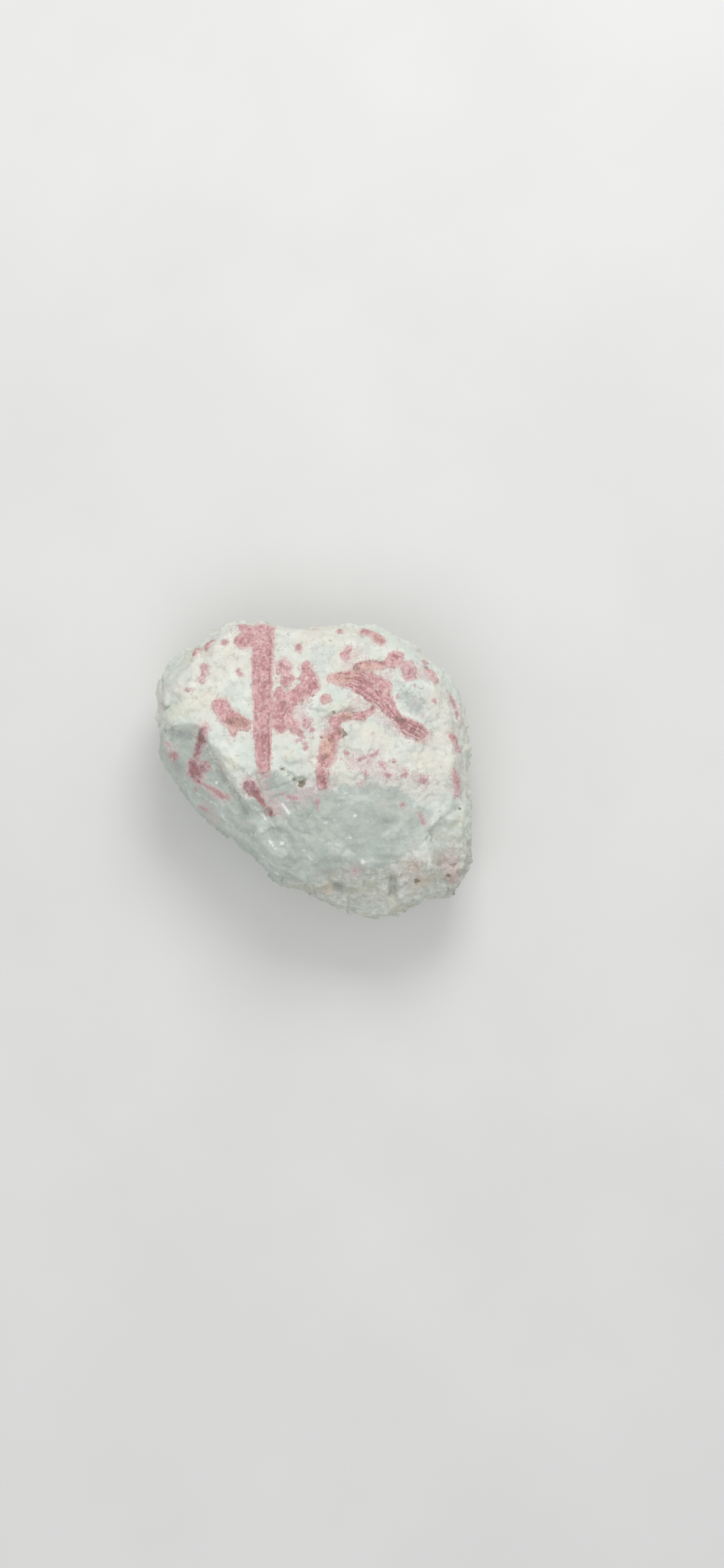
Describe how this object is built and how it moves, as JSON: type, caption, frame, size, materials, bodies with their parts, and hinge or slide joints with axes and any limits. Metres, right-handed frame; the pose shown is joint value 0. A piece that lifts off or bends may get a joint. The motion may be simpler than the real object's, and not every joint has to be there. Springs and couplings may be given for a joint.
{
  "type": "tourmaline in quartz",
  "caption": "Loose hand specimen of milky quartz and pale feldspar with pink tourmaline crystals grown in its broken face, lying on its flat broken back.",
  "frame": {"origin": "middle of the bounding box, on the surface that the stone rests on", "axes": "+X across the crystal face to the right, +Y up the face towards the bright end of the long crystal, +Z out of the crystal face"},
  "size_m": [0.0763, 0.0723, 0.0412],
  "materials": {
    "quartz": "rough broken quartz and feldspar, milky, glassy where it is greyest",
    "pink_tourmaline": "granular, slightly glassy",
    "pale_tourmaline": "granular, slightly glassy",
    "brown_tourmaline": "granular, slightly glassy"
  },
  "bodies": {
    "root": {"quartz_stone": "quartz", "long_crystal": "pink_tourmaline", "diagonal_crystal": "pink_tourmaline", "upper_band_crystals": "pink_tourmaline", "cluster_beside_long_crystal": "pink_tourmaline", "left_cluster": "pink_tourmaline", "centre_cluster": "pink_tourmaline", "rim_crystal": "pink_tourmaline", "top_right_pair": "pink_tourmaline", "small_upper_crystal": "pink_tourmaline", "lump_crystal": "pink_tourmaline", "left_rim_crystal": "pink_tourmaline", "right_edge_crystal": "pink_tourmaline", "lower_right_edge_crystal": "pink_tourmaline", "pale_round_crystal": "pale_tourmaline", "upper_left_crystal": "pale_tourmaline", "small_middle_crystal": "pale_tourmaline", "left_rod_and_cluster": "brown_tourmaline", "ledge_cluster": "brown_tourmaline"}
  },
  "joints": []
}
